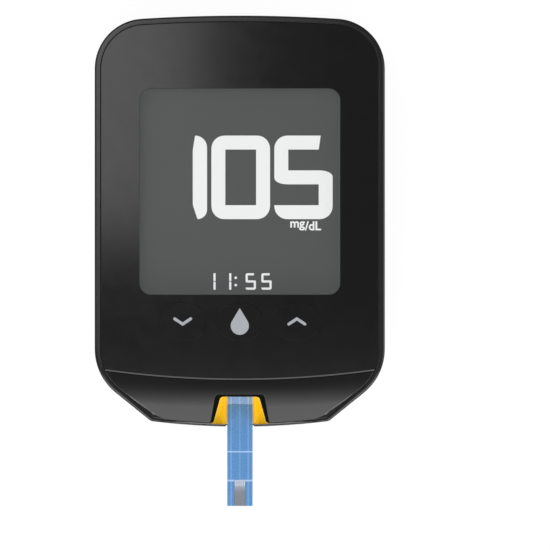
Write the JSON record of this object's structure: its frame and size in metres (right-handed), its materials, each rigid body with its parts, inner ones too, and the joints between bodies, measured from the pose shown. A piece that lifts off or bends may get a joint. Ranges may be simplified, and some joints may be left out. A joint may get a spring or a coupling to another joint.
{
  "type": "blood glucose meter",
  "caption": "Pocket blood glucose meter with a large display, three flush keys, sliding battery door, data socket and a test strip standing out of its yellow-lined port.",
  "frame": {"origin": "middle of the rear rest face, on the meter's middle line", "axes": "+Z out of the display, +Y towards the top edge, so the strip leaves along -Y"},
  "size_m": [0.0562, 0.0951, 0.016],
  "materials": {
    "housing_black": "fine satin",
    "cover_black": "gloss",
    "panel_black": "high gloss",
    "window_clear": "clear, lightly smoked",
    "symbol_silver": "satin print",
    "plunger_white": "moulded",
    "holder_white": "moulded",
    "dome_steel": "bright spring sheet",
    "foam_black": "closed cell foam",
    "segment_white": "lit display pattern",
    "display_grey": "anti-glare film",
    "display_glass": "polished",
    "film_grey": "film",
    "film_white": "film",
    "guide_clear": "polished, dotted underside",
    "led_cream": "moulded lens",
    "elastomer": "silicone with conductive layers",
    "board_green": "solder mask",
    "chip_black": "moulded",
    "can_silver": "drawn can",
    "contact_gold": "gold plate",
    "passive_tan": "ceramic chip",
    "cell_nickel": "nickel plate",
    "seal_ivory": "moulded seal",
    "liner_yellow": "gloss",
    "strip_light": "polyester film",
    "strip_blue": "printed polyester film",
    "electrode_carbon": "carbon ink",
    "sample_grey": "absorbent mesh",
    "usb_steel": "tinned sheet",
    "screw_steel": "zinc plate",
    "label_silver": "blank satin film"
  },
  "bodies": {
    "housing": {"rear_housing": "housing_black", "front_cover": "cover_black", "front_panel": "panel_black", "display_window": "window_clear", "key_guide": "plunger_white", "dome_down": "dome_steel", "dome_home": "dome_steel", "dome_up": "dome_steel", "lcd_gasket": "foam_black", "lcd_segments": "segment_white", "lcd_front_polariser": "display_grey", "lcd_front_glass": "display_glass", "lcd_rear_glass": "display_glass", "lcd_rear_polariser": "film_grey", "backlight_diffuser": "film_white", "backlight_guide": "guide_clear", "backlight_reflector": "film_white", "backlight_leds": "led_cream", "lcd_holder": "holder_white", "elastomer_connector": "elastomer", "main_board": "board_green", "processor": "chip_black", "memory_chip": "chip_black", "crystal": "can_silver", "buzzer": "contact_gold", "board_passives": "passive_tan", "battery_negative_springs": "dome_steel", "battery_positive_clips": "dome_steel", "meter_battery": "cell_nickel", "light_battery": "cell_nickel", "battery_caps": "cell_nickel", "battery_seals": "seal_ivory", "strip_port_liner": "liner_yellow", "strip_connector": "chip_black", "strip_contacts": "contact_gold", "usb_shell": "usb_steel", "usb_tongue": "chip_black", "usb_contacts": "contact_gold", "case_screws": "screw_steel", "rear_label": "label_silver"},
    "key_down": {"key_down_cap": "panel_black", "key_down_symbol": "symbol_silver", "key_down_plunger": "plunger_white"},
    "key_home": {"key_home_cap": "panel_black", "key_home_symbol": "symbol_silver", "key_home_plunger": "plunger_white"},
    "key_up": {"key_up_cap": "panel_black", "key_up_symbol": "symbol_silver", "key_up_plunger": "plunger_white"},
    "battery_door": {"battery_door": "housing_black"},
    "test_strip": {"strip_base": "strip_light", "strip_cover": "strip_blue", "strip_electrodes": "electrode_carbon", "strip_sample_window": "sample_grey"}
  },
  "joints": [
    {"name": "key_down_press", "type": "slide", "parent": "housing", "child": "key_down", "axis": [0, 0, -1], "range_m": [0, 0.0003], "stiffness_N_per_m": 800, "deforming": ["dome_down"]},
    {"name": "key_home_press", "type": "slide", "parent": "housing", "child": "key_home", "axis": [0, 0, -1], "range_m": [0, 0.0003], "stiffness_N_per_m": 800, "deforming": ["dome_home"]},
    {"name": "key_up_press", "type": "slide", "parent": "housing", "child": "key_up", "axis": [0, 0, -1], "range_m": [0, 0.0003], "stiffness_N_per_m": 800, "deforming": ["dome_up"]},
    {"name": "battery_door_slide", "type": "slide", "parent": "housing", "child": "battery_door", "axis": [0, 1, 0], "range_m": [0, 0.034]},
    {"name": "test_strip_pull", "type": "slide", "parent": "housing", "child": "test_strip", "axis": [0, -1, 0], "range_m": [0, 0.02]}
  ]
}
